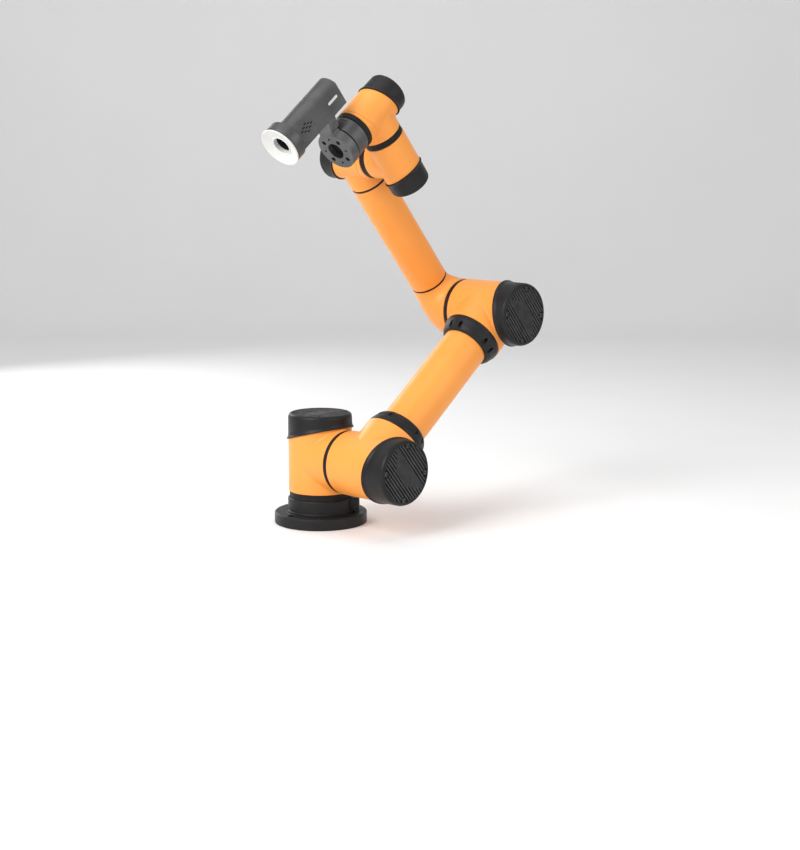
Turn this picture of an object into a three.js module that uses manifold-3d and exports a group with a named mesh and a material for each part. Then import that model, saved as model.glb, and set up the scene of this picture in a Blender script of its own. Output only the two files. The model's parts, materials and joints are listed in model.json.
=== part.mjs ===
// A six-axis collaborative robot arm with a camera on its tool flange, in millimetres, +Z up.
// The origin is the centre of the base's mounting face, and the base joint turns about Z.
// The shoulder's port points along +X, so the upper arm and the forearm swing in planes across X.
import * as THREE from 'three';
import { mergeVertices } from 'three/addons/utils/BufferGeometryUtils.js';
import Module from 'manifold-3d';

const wasm = await Module();
wasm.setup();

// ---------------------------------------------------------------- driving dimensions
const SHOULDER_HEIGHT = 122;
const UPPER_ARM_LENGTH = 408;
const FOREARM_LENGTH = 376;
const UPPER_ARM_OFFSET = 140.5; // from the base joint's axis to the upper arm's plane
const FOREARM_OFFSET = 19; // from the base joint's axis to the forearm's plane
const WRIST_STEP = 102.5; // between the axes of neighbouring wrist joints
const UPPER_ARM_ANGLE = 39.25; // degrees above the horizontal, leaning to +Y
const FOREARM_ANGLE = 50.5; // degrees above the horizontal, leaning to -Y
const GAP = 0.3; // between pieces that touch
const RUNNING_GAP = 0.6; // between pieces that turn past each other
const FINE = 32; // sides of a large round
const COARSE = 16; // sides of an inner or small round

// A joint module: a tee with a cap at one end, its output at the other and a port at its side.
const BIG = {
  radius: 59,
  wall: 4.5,
  output: 61.7,
  ring: 9.4,
  port: 69.4,
  portRadius: 58,
  rim: 76,
  top: 84,
  topRadius: 51.5,
  lip: 61.8,
  slantMiddle: 45,
  opening: 49,
};
const SMALL = {
  radius: 37,
  wall: 3.4,
  output: 45.5,
  ring: 12,
  port: 45,
  portRadius: 36.3,
  rim: 54.5,
  top: 60.5,
  topRadius: 32.5,
  lip: 39.2,
  slantMiddle: 29.5,
  opening: 30,
};
const CAP_SLANT = 0.268; // rise of the cap's lower edge towards the port, 15 degrees
const CAP_WALL = 3;
const CAP_SKIRT = 0.5; // how far the cap stands proud of the housing
const LIP_HEIGHT = 3;

const UPPER_TUBE_RADIUS = 43.15;
const FOREARM_TUBE_RADIUS = 36.5;
const TUBE_WALL = 3.2;
const COLLAR = { from: BIG.port - 2, to: 97, wide: 57, narrow: 46.6, tubeStart: 76 };
const FOREARM_PORT = 50.7; // the first wrist housing's port is longer than the others
const ELBOW_RISE = 71.2; // from the elbow's axis to the forearm's lower gasket
const GASKET = 3.8;

const BASE = {
  discRadius: 86,
  discHeight: 21,
  chamfer: 1.6,
  pedestalRadius: 60.8,
  pedestalTop: 48.6,
  screwCircle: 73.4,
  screwHead: 6.5,
  screwShank: 4,
  headRecess: 9,
  dowelHole: 3,
  dowelDepth: 8,
};
const INLET_BOX = { width: 46, reach: 72, low: 25, high: 49.5, middle: 37 };
const INLET_TURN = -45; // degrees about Z from +Y

// The tool end, measured along the last joint's axis from the third wrist housing's centre.
const TOOL = {
  ringEnd: 55.5,
  flangeEnd: 85.7,
  spigotEnd: 94,
  face: 104.3,
  flangeRadius: 35.2,
  spigotRadius: 31.5,
  plateRadius: 37,
  bore: 15.75,
  boltCircle: 25,
  boltHole: 4.3,
  pinHole: 2.2,
};
// The camera, measured the same way and outwards from the last joint's axis.
const CAMERA = {
  back: 46.8,
  front: 174,
  halfWidth: 22.2,
  low: 60,
  axis: 85.7,
  crownRadius: 26.9,
  wall: 2.5,
  bezelRadius: 36.3,
  bezelEnd: 197,
  lightRadius: 37.4,
  lightEnd: 199.5,
  seatDepth: 11,
  coneDepth: 6.5,
  lensHole: 15.8,
  armBack: 83.2,
  armRoot: 14.5,
  ventMiddle: 146,
};

const COLOURS = {
  orange: { color: 0xf58a2a, roughness: 0.4, metalness: 0 },
  black: { color: 0x242424, roughness: 0.5, metalness: 0 },
  graphite: { color: 0x4a4a4c, roughness: 0.45, metalness: 0.1 },
  steel: { color: 0x8c8f94, roughness: 0.35, metalness: 0.9 },
  copper: { color: 0xa86a3c, roughness: 0.5, metalness: 0.6 },
  diffuser: { color: 0xf4f4f0, roughness: 0.5, metalness: 0 },
  glass: { color: 0x10141c, roughness: 0.08, metalness: 0 },
  rubber: { color: 0x161616, roughness: 0.8, metalness: 0 },
};

// ---------------------------------------------------------------- solids
function solid(geometry) {
  const bare = geometry.clone();
  bare.deleteAttribute('normal');
  bare.deleteAttribute('uv');
  const merged = mergeVertices(bare, 1e-3);
  return new wasm.Manifold(
    new wasm.Mesh({
      numProp: 3,
      vertProperties: new Float32Array(merged.attributes.position.array),
      triVerts: new Uint32Array(merged.index.array),
    }),
  );
}

function geometryOf(body) {
  const mesh = body.getMesh();
  const points = new Float32Array(mesh.numVert * 3);
  for (let i = 0; i < mesh.numVert; i++) {
    points.set(mesh.vertProperties.subarray(i * mesh.numProp, i * mesh.numProp + 3), i * 3);
  }
  return new THREE.BufferGeometry()
    .setAttribute('position', new THREE.BufferAttribute(points, 3))
    .setIndex(new THREE.BufferAttribute(mesh.triVerts, 1));
}

// A body turned from [radius, height] pairs about Z. The profile starts and ends on the axis,
// or closes on itself.
function turned(profile, sides = FINE) {
  const points = profile.map(([radius, height]) => new THREE.Vector2(radius, height));
  return solid(new THREE.LatheGeometry(points, sides).rotateX(Math.PI / 2));
}

function rod(radius, low, high, sides = FINE) {
  return turned([[0, low], [radius, low], [radius, high], [0, high]], sides);
}

function tube(outer, inner, low, high, sides = FINE) {
  return turned([[inner, low], [outer, low], [outer, high], [inner, high], [inner, low]], sides);
}

// A rod along +X instead of +Z.
function sideRod(radius, low, high, sides = FINE) {
  return solid(
    new THREE.CylinderGeometry(radius, radius, high - low, sides)
      .rotateZ(-Math.PI / 2)
      .translate((low + high) / 2, 0, 0),
  );
}

function box(x, y, z) {
  const size = [x, y, z].map(([low, high]) => high - low);
  const middle = [x, y, z].map(([low, high]) => (low + high) / 2);
  return solid(new THREE.BoxGeometry(...size).translate(...middle));
}

// A quarter round from the vertical wall at `radius` to the flat top, as profile points.
function shoulder(radius, rim, topRadius, top, steps = 3) {
  const points = [];
  for (let i = 0; i <= steps; i++) {
    const turn = (i / steps) * (Math.PI / 2);
    points.push([
      topRadius + (radius - topRadius) * Math.cos(turn),
      rim + (top - rim) * Math.sin(turn),
    ]);
  }
  return points;
}

// Everything above the slanted plane that splits a module's cap from its housing.
function aboveSlant(module, lift, reach = 240) {
  const slope = Math.atan(CAP_SLANT);
  return solid(
    new THREE.BoxGeometry(reach, reach, reach)
      .translate(0, 0, reach / 2)
      .rotateY(-slope)
      .translate(0, 0, module.slantMiddle + lift),
  );
}

// ---------------------------------------------------------------- joint modules
// In a module's own frame +Z runs to the cap, -Z to the output, and +X along the port.
function housing(module, port = module.port) {
  const { radius, wall, output, portRadius, rim, opening } = module;
  const outside = rod(radius, -output, rim).add(sideRod(portRadius, 0, port));
  const inside = rod(radius - wall, wall - output, rim + 1, COARSE)
    .add(sideRod(portRadius - wall - 2, 0, port + 1, COARSE))
    .add(rod(opening, -output - 1, 0, COARSE));
  return outside.subtract(inside).subtract(aboveSlant(module, 0));
}

function cap(module) {
  const { radius, rim, topRadius, top, lip } = module;
  const skirt = radius + CAP_SKIRT;
  const shell = turned([[0, 0], [skirt, 0], ...shoulder(skirt, rim, topRadius, top), [0, top]]);
  const band = rod(lip, 0, top).subtract(aboveSlant(module, LIP_HEIGHT));
  const hollow = turned(
    [
      [0, -1],
      [skirt - CAP_WALL, -1],
      ...shoulder(skirt - CAP_WALL, rim - 2, topRadius - 2, top - CAP_WALL, 2),
      [0, top - CAP_WALL],
    ],
    COARSE,
  );
  return shell.add(band).intersect(aboveSlant(module, GAP)).subtract(hollow);
}

// The black ring that fills the gap between a housing's output end and the part it drives.
function sealRing(module, inset = 0.8) {
  const { radius, output, ring, opening } = module;
  return tube(radius - inset, opening - 6, -output - ring + GAP, -output - RUNNING_GAP);
}

// The hub that joins the gear's output to the driven part, through the housing's end.
function outputHub(module) {
  const { output, ring, opening } = module;
  const radius = opening - 6.6;
  return tube(radius, radius * 0.45, -output - ring + GAP, -output + 8, COARSE);
}

// The strain wave gear set, seated in the housing's wall just behind the output hub.
function gearUnit(module) {
  const { radius, wall, output } = module;
  const seat = radius - wall - GAP;
  const thickness = radius * 0.42;
  const low = -output + 8 + RUNNING_GAP;
  return tube(seat, seat * 0.5, low, low + thickness, COARSE);
}

// The frameless motor with its brake, stacked on the gear set.
function motorUnit(module) {
  const { radius, wall, output } = module;
  const seat = radius - wall - GAP;
  const low = -output + 8 + RUNNING_GAP + radius * 0.42 + GAP;
  const high = low + radius * 0.5;
  return turned(
    [
      [seat * 0.52, low],
      [seat, low],
      [seat, high],
      [seat * 0.72, high],
      [seat * 0.72, high + radius * 0.1],
      [seat * 0.52, high + radius * 0.1],
      [seat * 0.52, low],
    ],
    COARSE,
  );
}

// ---------------------------------------------------------------- links
// A collar on the upper arm's tube: a flared flange that bolts to a housing's port.
function collar() {
  const { from, to, wide, narrow } = COLLAR;
  const flare = turned([
    [0, from + GAP],
    [wide, from + GAP],
    [wide, from + 7],
    [narrow + 4.4, to - 11],
    [narrow, to - 4],
    [narrow - 1, to],
    [0, to],
  ]);
  const bore = rod(UPPER_TUBE_RADIUS + GAP, COLLAR.tubeStart - GAP, to + 1);
  return flare.subtract(bore).subtract(rod(UPPER_TUBE_RADIUS - 8, from - 1, to));
}

// Sections turned about the corner between the elbow's ring and the forearm's lower end.
// In its own frame +X runs to the elbow housing and +Z along the forearm.
function elbowLoft(shrink, overrun) {
  const start = BIG.port - FOREARM_OFFSET;
  const nearStart = ELBOW_RISE - BIG.radius;
  const nearEnd = start - FOREARM_TUBE_RADIUS;
  const farStart = ELBOW_RISE + BIG.radius;
  const farEnd = start + FOREARM_TUBE_RADIUS;
  const steps = 7;
  const sections = [];
  for (let i = 0; i <= steps; i++) {
    const part = i / steps;
    const eased = part * part * (3 - 2 * part);
    const turn = part * (Math.PI / 2 + 2 * overrun) - overrun;
    const near = nearStart + (nearEnd - nearStart) * eased;
    const far = farStart + (farEnd - farStart) * eased;
    const middle = (near + far) / 2;
    const radius = (far - near) / 2 - shrink;
    const out = new THREE.Vector3(-Math.sin(turn), 0, -Math.cos(turn));
    const section = [];
    for (let k = 0; k < FINE; k++) {
      const round = (k / FINE) * 2 * Math.PI;
      const reach = middle + radius * Math.cos(round);
      section.push([start + out.x * reach, radius * Math.sin(round), ELBOW_RISE + out.z * reach]);
    }
    sections.push(section);
  }
  return solid(loft(sections));
}

// A closed surface through equal rings of points, with a fan over each end.
function loft(sections) {
  const count = sections[0].length;
  const points = sections.flat(2);
  const faces = [];
  for (let i = 0; i + 1 < sections.length; i++) {
    for (let k = 0; k < count; k++) {
      const next = (k + 1) % count;
      const [a, b] = [i * count + k, i * count + next];
      const [c, d] = [a + count, b + count];
      faces.push(a, c, b, b, c, d);
    }
  }
  const last = (sections.length - 1) * count;
  for (let k = 1; k + 1 < count; k++) {
    faces.push(0, k, k + 1);
    faces.push(last, last + k + 1, last + k);
  }
  return new THREE.BufferGeometry()
    .setAttribute('position', new THREE.Float32BufferAttribute(points, 3))
    .setIndex(faces);
}

function forearmElbow() {
  return elbowLoft(0, 0).subtract(elbowLoft(5, 0.02));
}

// ---------------------------------------------------------------- base
function baseFlange() {
  const { discRadius, discHeight, chamfer, screwCircle, screwHead, screwShank } = BASE;
  let disc = turned([
    [0, 0],
    [discRadius - 0.6, 0],
    [discRadius, 0.6],
    [discRadius, discHeight - chamfer],
    [discRadius - chamfer, discHeight],
    [0, discHeight],
  ]);
  for (const at of screwPlaces(screwCircle)) {
    disc = disc
      .subtract(rod(screwShank + GAP, -1, discHeight + 1, COARSE).translate(at))
      .subtract(rod(screwHead + GAP, BASE.headRecess, discHeight + 1, COARSE).translate(at));
  }
  for (const at of placesAround(screwCircle, [135, 315])) {
    const hole = rod(BASE.dowelHole, discHeight - BASE.dowelDepth, discHeight + 1, COARSE);
    disc = disc.subtract(hole.translate(at));
  }
  return disc;
}

function screwPlaces(circle) {
  return placesAround(circle, [0, 90, 180, 270]);
}

function placesAround(circle, angles) {
  return angles.map((degrees) => {
    const turn = THREE.MathUtils.degToRad(degrees);
    return [circle * Math.cos(turn), circle * Math.sin(turn), 0];
  });
}

function basePedestal() {
  const { discHeight, pedestalRadius: radius, pedestalTop: top } = BASE;
  const outside = turned([
    [0, discHeight + GAP],
    [radius + 1.4, discHeight + GAP],
    [radius + 1.4, discHeight + 2],
    [radius, discHeight + 3.4],
    [radius, top - 1.4],
    [radius - 1.4, top],
    [0, top],
  ]);
  return outside.subtract(rod(BIG.opening - 5.6, discHeight + 5, top + 1));
}

function inletHousing() {
  const { width, reach, low, high, middle } = INLET_BOX;
  const half = width / 2;
  const block = box([-half, half], [20, reach], [low, high]);
  const socket = rod(9.3, 0, 20, COARSE).rotate([-90, 0, 0]).translate([0, reach - 9, middle]);
  return block
    .subtract(rod(BASE.pedestalRadius + GAP, 0, high + 10, FINE))
    .subtract(socket)
    .rotate([0, 0, INLET_TURN]);
}

function cableInlet() {
  const { reach, middle } = INLET_BOX;
  const shell = turned([[0, 0], [9, 0], [9, 9.4], [7.4, 9.4], [7.4, 2.4], [0, 2.4]], COARSE);
  return shell
    .rotate([-90, 0, 0])
    .translate([0, reach - 8.7, middle])
    .rotate([0, 0, INLET_TURN]);
}

function baseScrew() {
  const { screwHead, screwShank, headRecess } = BASE;
  const head = turned(
    [
      [0, 0.3],
      [screwShank, 0.3],
      [screwShank, headRecess + GAP],
      [screwHead, headRecess + GAP],
      [screwHead, headRecess + 7.6],
      [screwHead - 0.5, headRecess + 8.2],
      [0, headRecess + 8.2],
    ],
    COARSE,
  );
  return head.subtract(rod(3.4, headRecess + 4, headRecess + 9, 6));
}

// ---------------------------------------------------------------- tool flange and camera
// In the tool's frame +Z runs out of the flange, +Y towards the camera.
function toolFlange() {
  const { ringEnd, flangeEnd, spigotEnd, flangeRadius, spigotRadius, bore } = TOOL;
  const hub = SMALL.opening - 6.6;
  const outside = turned([
    [0, SMALL.output - 8],
    [hub, SMALL.output - 8],
    [hub, ringEnd + GAP],
    [flangeRadius, ringEnd + GAP],
    [flangeRadius, flangeEnd],
    [spigotRadius, flangeEnd],
    [spigotRadius, spigotEnd],
    [0, spigotEnd],
  ]);
  return outside.subtract(rod(bore - 4, spigotEnd - 6, spigotEnd + 1, COARSE));
}

function toolSealRing() {
  return tube(SMALL.radius - 0.6, SMALL.opening - 6, SMALL.output + RUNNING_GAP, TOOL.ringEnd);
}

function cameraBracket() {
  const { flangeEnd, spigotEnd, face, plateRadius, spigotRadius, bore } = TOOL;
  const back = flangeEnd + GAP;
  let plate = bracketArm()
    .subtract(rod(plateRadius + 0.5, back - 10, back))
    .add(rod(plateRadius, back, face))
    .subtract(rod(spigotRadius + GAP, back - 1, spigotEnd + GAP))
    .subtract(rod(bore, back, face + 1, COARSE));
  for (let i = 0; i < 8; i++) {
    const turn = (i * Math.PI) / 4;
    const radius = i % 2 ? TOOL.boltHole : TOOL.pinHole;
    const at = [TOOL.boltCircle * Math.cos(turn), TOOL.boltCircle * Math.sin(turn), 0];
    plate = plate.subtract(rod(radius, spigotEnd - 1, face + 1, i % 2 ? 16 : 12).translate(at));
  }
  return plate;
}

// The arm widens from the plate to the camera housing, whose sides it meets flush.
function bracketArm() {
  const { halfWidth, low, armBack, armRoot } = CAMERA;
  const shape = new THREE.Shape();
  shape.moveTo(-armRoot, 30);
  shape.lineTo(armRoot, 30);
  shape.lineTo(halfWidth, low - GAP);
  shape.lineTo(-halfWidth, low - GAP);
  shape.closePath();
  const depth = TOOL.face - 0.5 - armBack;
  return solid(
    new THREE.ExtrudeGeometry(shape, { depth, bevelEnabled: false }).translate(0, 0, armBack),
  );
}

// The camera housing's section: flat sides cut from a round crown about the lens axis.
function cameraSection(inset) {
  const { halfWidth, low, axis, crownRadius } = CAMERA;
  const side = halfWidth - inset;
  const radius = crownRadius - inset;
  const start = Math.acos(side / radius);
  const shape = new THREE.Shape();
  shape.moveTo(-side, low + inset);
  shape.lineTo(side, low + inset);
  shape.absarc(0, axis, radius, start, Math.PI - start);
  shape.closePath();
  return shape;
}

function cameraHousing() {
  const { back, front, wall, halfWidth, axis, ventMiddle } = CAMERA;
  const extrude = (inset, from, to) =>
    solid(
      new THREE.ExtrudeGeometry(cameraSection(inset), {
        depth: to - from,
        bevelEnabled: false,
        curveSegments: 16,
      }).translate(0, 0, from),
    );
  let shell = extrude(0, back, front).subtract(extrude(wall, back + 3, front + 1));
  // Nine vent slots make a diamond on one flat side.
  for (const i of [-1, 0, 1]) {
    for (const j of [-1, 0, 1]) {
      const slot = new THREE.BoxGeometry(wall * 3, 1.9, 6.8).translate(
        halfWidth,
        axis + (i + j) * 3.6,
        ventMiddle + (i - j) * 6.4,
      );
      shell = shell.subtract(solid(slot));
    }
  }
  return shell;
}

function cameraBezel() {
  const { front, axis, bezelRadius, bezelEnd, lensHole } = CAMERA;
  const outside = turned([
    [0, front + GAP],
    [bezelRadius - 2.4, front + GAP],
    [bezelRadius, front + 3],
    [bezelRadius, bezelEnd],
    [0, bezelEnd],
  ]);
  const hollow = turned([
    [0, front + 3],
    [bezelRadius - 3, front + 3],
    [bezelRadius - 3, bezelEnd + 1],
    [0, bezelEnd + 1],
  ]);
  const throat = rod(lensHole + 0.5, front - 1, front + 5, COARSE);
  return outside.subtract(hollow).subtract(throat).translate([0, axis, 0]);
}

function cameraLight() {
  const { axis, bezelRadius, bezelEnd, lightRadius, lightEnd, coneDepth, lensHole } = CAMERA;
  const seat = bezelRadius - 3 - GAP;
  const back = bezelEnd - CAMERA.seatDepth;
  const outside = turned([
    [0, back],
    [seat, back],
    [seat, bezelEnd + GAP],
    [lightRadius, bezelEnd + GAP],
    [lightRadius, lightEnd - 1],
    [lightRadius - 1, lightEnd],
    [0, lightEnd],
  ]);
  const dish = turned([
    [0, back - 1],
    [lensHole, back - 1],
    [lensHole, lightEnd - coneDepth],
    [lightRadius - 3, lightEnd],
    [lightRadius - 3, lightEnd + 1],
    [0, lightEnd + 1],
  ]);
  return outside.subtract(dish).translate([0, axis, 0]);
}

function lensBarrel() {
  const { front, axis, bezelEnd, seatDepth, lensHole } = CAMERA;
  const radius = lensHole - 0.5;
  const rim = bezelEnd - seatDepth - GAP;
  return turned(
    [
      [0, front - 26],
      [radius, front - 26],
      [radius, rim],
      [radius - 2, rim],
      [radius - 4.4, rim - 7],
      [0, rim - 7],
    ],
    COARSE,
  ).translate([0, axis, 0]);
}

function lensGlass() {
  const { axis, bezelEnd, seatDepth, lensHole } = CAMERA;
  const radius = lensHole - 5.4;
  const low = bezelEnd - seatDepth - 7;
  return turned([[0, low], [radius, low], [radius, low + 1.5], [0, low + 4]], COARSE).translate([
    0,
    axis,
    0,
  ]);
}

function sensorBoard() {
  const { front, axis, halfWidth, wall, low } = CAMERA;
  const side = halfWidth - wall - GAP;
  return box([-side, side], [low + wall + GAP, axis + 12], [front - 32, front - 30]);
}

// ---------------------------------------------------------------- assembly
const arm = new THREE.Group();

function addTo(group, name, body, colour) {
  const mesh = new THREE.Mesh(geometryOf(body), new THREE.MeshStandardMaterial(COLOURS[colour]));
  mesh.name = name;
  group.add(mesh);
}

// A group at `centre` whose +Z runs along `up` and whose +X runs along `side`.
function frameAt(centre, up, side) {
  const group = new THREE.Group();
  const across = new THREE.Vector3().crossVectors(up, side);
  const turn = new THREE.Matrix4().makeBasis(side, across, up);
  group.position.copy(centre);
  group.quaternion.setFromRotationMatrix(turn);
  arm.add(group);
  return group;
}

function addModule(name, module, centre, capSide, portSide, port = module.port) {
  const group = frameAt(centre, capSide, portSide);
  addTo(group, `${name}_housing`, housing(module, port), 'orange');
  addTo(group, `${name}_cap`, cap(module), 'black');
  addTo(group, `${name}_gear_unit`, gearUnit(module), 'steel');
  addTo(group, `${name}_motor`, motorUnit(module), 'copper');
  return group;
}

function addOutput(name, module, group) {
  addTo(group, `${name}_seal_ring`, sealRing(module), 'rubber');
  addTo(group, `${name}_output_hub`, outputHub(module), 'steel');
}

const lean = THREE.MathUtils.degToRad(UPPER_ARM_ANGLE);
const reach = THREE.MathUtils.degToRad(FOREARM_ANGLE);
const X = new THREE.Vector3(1, 0, 0);
const Z = new THREE.Vector3(0, 0, 1);
const alongUpperArm = new THREE.Vector3(0, Math.cos(lean), Math.sin(lean));
const alongForearm = new THREE.Vector3(0, -Math.cos(reach), Math.sin(reach));
const alongTool = new THREE.Vector3().crossVectors(X, alongForearm);

const origin = new THREE.Vector3(0, 0, 0);
const moved = (from, ...steps) =>
  steps.reduce((at, [direction, length]) => at.addScaledVector(direction, length), from.clone());
const baseCentre = moved(origin, [Z, SHOULDER_HEIGHT]);
const shoulderCentre = moved(baseCentre, [X, UPPER_ARM_OFFSET]);
const elbowCentre = moved(shoulderCentre, [alongUpperArm, UPPER_ARM_LENGTH]);
const forearmStart = moved(elbowCentre, [X, FOREARM_OFFSET - UPPER_ARM_OFFSET]);
const wrist1Centre = moved(forearmStart, [alongForearm, FOREARM_LENGTH]);
const wrist2Centre = moved(wrist1Centre, [X, WRIST_STEP]);
const wrist3Centre = moved(wrist2Centre, [alongForearm, WRIST_STEP]);
const opposite = (direction) => direction.clone().negate();

const base = frameAt(origin, Z, X);
addTo(base, 'base_flange', baseFlange(), 'black');
addTo(base, 'base_pedestal', basePedestal(), 'black');
addTo(base, 'base_inlet_housing', inletHousing(), 'black');
addTo(base, 'base_cable_inlet', cableInlet(), 'graphite');
screwPlaces(BASE.screwCircle).forEach((at, i) => {
  addTo(base, `base_screw_${i + 1}`, baseScrew().translate(at), 'steel');
});

const baseJoint = addModule('base_joint', BIG, baseCentre, Z, X);
const shoulderGroup = addModule('shoulder', BIG, shoulderCentre, X, alongUpperArm, COLLAR.from);
const elbowGroup = addModule('elbow', BIG, elbowCentre, X, opposite(alongUpperArm), COLLAR.from);
const wrist1 = addModule(
  'wrist_1',
  SMALL,
  wrist1Centre,
  opposite(X),
  opposite(alongForearm),
  FOREARM_PORT,
);
const wrist2 = addModule('wrist_2', SMALL, wrist2Centre, opposite(alongForearm), opposite(X));
addModule('wrist_3', SMALL, wrist3Centre, opposite(alongTool), opposite(alongForearm));

addTo(baseJoint, 'base_joint_seal_ring', baseJointSeal(), 'rubber');
addTo(baseJoint, 'base_joint_output_hub', baseJointHub(), 'steel');
addOutput('shoulder', BIG, shoulderGroup);
addOutput('elbow', BIG, elbowGroup);
addOutput('wrist_1', SMALL, wrist1);
addOutput('wrist_2', SMALL, wrist2);

// The base joint's ring and hub stand on the pedestal, which ends lower than a port would.
function baseJointSeal() {
  const low = BASE.pedestalTop - SHOULDER_HEIGHT + GAP;
  return tube(BIG.radius - 0.8, BIG.opening - 4, low, -BIG.output - RUNNING_GAP);
}

function baseJointHub() {
  const radius = BIG.opening - 6.6;
  const low = BASE.discHeight + 5 + GAP - SHOULDER_HEIGHT;
  return tube(radius, radius * 0.45, low, -BIG.output + 8, COARSE);
}

// The upper arm's frame has +Z along the tube, and its far collar faces back from the elbow.
const upperArm = frameAt(shoulderCentre, alongUpperArm, X);
const elbowSide = frameAt(elbowCentre, opposite(alongUpperArm), X);
addTo(upperArm, 'upper_arm_lower_collar', collar(), 'black');
addTo(elbowSide, 'upper_arm_upper_collar', collar(), 'black');
addTo(
  upperArm,
  'upper_arm_tube',
  tube(
    UPPER_TUBE_RADIUS,
    UPPER_TUBE_RADIUS - TUBE_WALL,
    COLLAR.tubeStart,
    UPPER_ARM_LENGTH - COLLAR.tubeStart,
  ),
  'orange',
);
addTo(upperArm, 'upper_arm_cable_harness', rod(9, 72, UPPER_ARM_LENGTH - 72, 12), 'rubber');

const forearm = frameAt(forearmStart, alongForearm, X);
const forearmEnd = FOREARM_LENGTH - FOREARM_PORT;
addTo(forearm, 'forearm_elbow', forearmElbow(), 'orange');
addTo(
  forearm,
  'forearm_lower_gasket',
  tube(FOREARM_TUBE_RADIUS + 0.2, 30, ELBOW_RISE + GAP, ELBOW_RISE + GASKET),
  'rubber',
);
addTo(
  forearm,
  'forearm_tube',
  tube(
    FOREARM_TUBE_RADIUS,
    FOREARM_TUBE_RADIUS - TUBE_WALL,
    ELBOW_RISE + GASKET + GAP,
    forearmEnd - GASKET - GAP,
  ),
  'orange',
);
addTo(
  forearm,
  'forearm_upper_gasket',
  tube(FOREARM_TUBE_RADIUS + 0.2, 30, forearmEnd - GASKET, forearmEnd - GAP),
  'rubber',
);
addTo(forearm, 'forearm_cable_harness', rod(8, ELBOW_RISE, forearmEnd, 12), 'rubber');

const tool = frameAt(wrist3Centre, alongTool, new THREE.Vector3().crossVectors(alongForearm, alongTool));
addTo(tool, 'wrist_3_seal_ring', toolSealRing(), 'rubber');
addTo(tool, 'tool_flange', toolFlange(), 'graphite');
addTo(tool, 'camera_bracket', cameraBracket(), 'graphite');
addTo(tool, 'camera_housing', cameraHousing(), 'graphite');
addTo(tool, 'camera_bezel', cameraBezel(), 'graphite');
addTo(tool, 'camera_ring_light', cameraLight(), 'diffuser');
addTo(tool, 'camera_lens_barrel', lensBarrel(), 'black');
addTo(tool, 'camera_lens_glass', lensGlass(), 'glass');
addTo(tool, 'camera_sensor_board', sensorBoard(), 'steel');

export default arm;
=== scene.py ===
"""Looks of a six-axis robot arm with a camera on its tool flange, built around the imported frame."""
import json
import math
from dataclasses import dataclass

import bmesh
import bpy
from mathutils import Matrix, Vector


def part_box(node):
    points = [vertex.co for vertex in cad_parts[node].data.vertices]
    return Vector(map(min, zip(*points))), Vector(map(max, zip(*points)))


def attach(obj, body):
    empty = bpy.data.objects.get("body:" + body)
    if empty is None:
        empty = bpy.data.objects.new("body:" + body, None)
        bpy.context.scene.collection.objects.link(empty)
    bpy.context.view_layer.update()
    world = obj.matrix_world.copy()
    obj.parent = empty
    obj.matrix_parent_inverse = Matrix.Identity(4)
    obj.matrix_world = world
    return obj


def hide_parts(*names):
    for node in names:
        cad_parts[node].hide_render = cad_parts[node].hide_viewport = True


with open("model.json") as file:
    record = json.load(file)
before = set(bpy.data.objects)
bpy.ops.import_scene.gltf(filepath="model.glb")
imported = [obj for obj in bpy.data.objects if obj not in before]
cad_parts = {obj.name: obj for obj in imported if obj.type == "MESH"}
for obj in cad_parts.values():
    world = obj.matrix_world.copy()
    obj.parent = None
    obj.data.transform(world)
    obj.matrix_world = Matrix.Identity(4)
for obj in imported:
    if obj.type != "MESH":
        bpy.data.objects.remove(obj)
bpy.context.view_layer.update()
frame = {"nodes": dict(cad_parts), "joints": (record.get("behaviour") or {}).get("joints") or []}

MM = 0.001
SIDES = 96
X, Z = Vector((1, 0, 0)), Vector((0, 0, 1))

JOINTS = {j["name"]: j for j in frame["joints"]}


def joint_place(name):
    return Vector(JOINTS[name]["pos_m"]) / MM


def joint_axis(name):
    return Vector(JOINTS[name]["axis"]).normalized()


BASE_CENTRE = joint_place("base_joint")
SHOULDER_CENTRE = joint_place("shoulder_joint")
ELBOW_CENTRE = joint_place("elbow_joint")
WRIST_1_CENTRE = joint_place("wrist_1_joint")
WRIST_2_CENTRE = joint_place("wrist_2_joint")
WRIST_3_CENTRE = joint_place("wrist_3_joint")
ALONG_UPPER = (ELBOW_CENTRE - SHOULDER_CENTRE).normalized()
ALONG_FORE = joint_axis("wrist_2_joint")
ALONG_TOOL = joint_axis("wrist_3_joint")


# ---------------------------------------------------------------- camera
AZIMUTH, PITCH = math.radians(44.83), math.radians(9.67)
CAMERA_DISTANCE, FOCAL_SHARE = 3.0485, 1639 / 850
AIM_RIGHT, AIM_UP = 0.148, 0.05916


def add_camera():
    right = Vector((math.cos(AZIMUTH), math.sin(AZIMUTH), 0))
    back = Vector(
        (
            math.sin(AZIMUTH) * math.cos(PITCH),
            -math.cos(AZIMUTH) * math.cos(PITCH),
            math.sin(PITCH),
        )
    )
    up = back.cross(right)
    camera = bpy.data.objects.new("camera", bpy.data.cameras.new("camera"))
    camera.data.sensor_width = 36
    camera.data.lens = 36 * FOCAL_SHARE
    camera.data.clip_end = 50
    place = Matrix((right, up, back)).transposed().to_4x4()
    place.translation = (
        BASE_CENTRE * MM + right * AIM_RIGHT + up * AIM_UP + back * CAMERA_DISTANCE
    )
    camera.matrix_world = place
    bpy.context.scene.collection.objects.link(camera)
    bpy.context.scene.camera = camera
    return right, up, back


RIGHT, UP, BACK = add_camera()
bpy.context.scene.view_settings.view_transform = "Standard"


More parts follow.
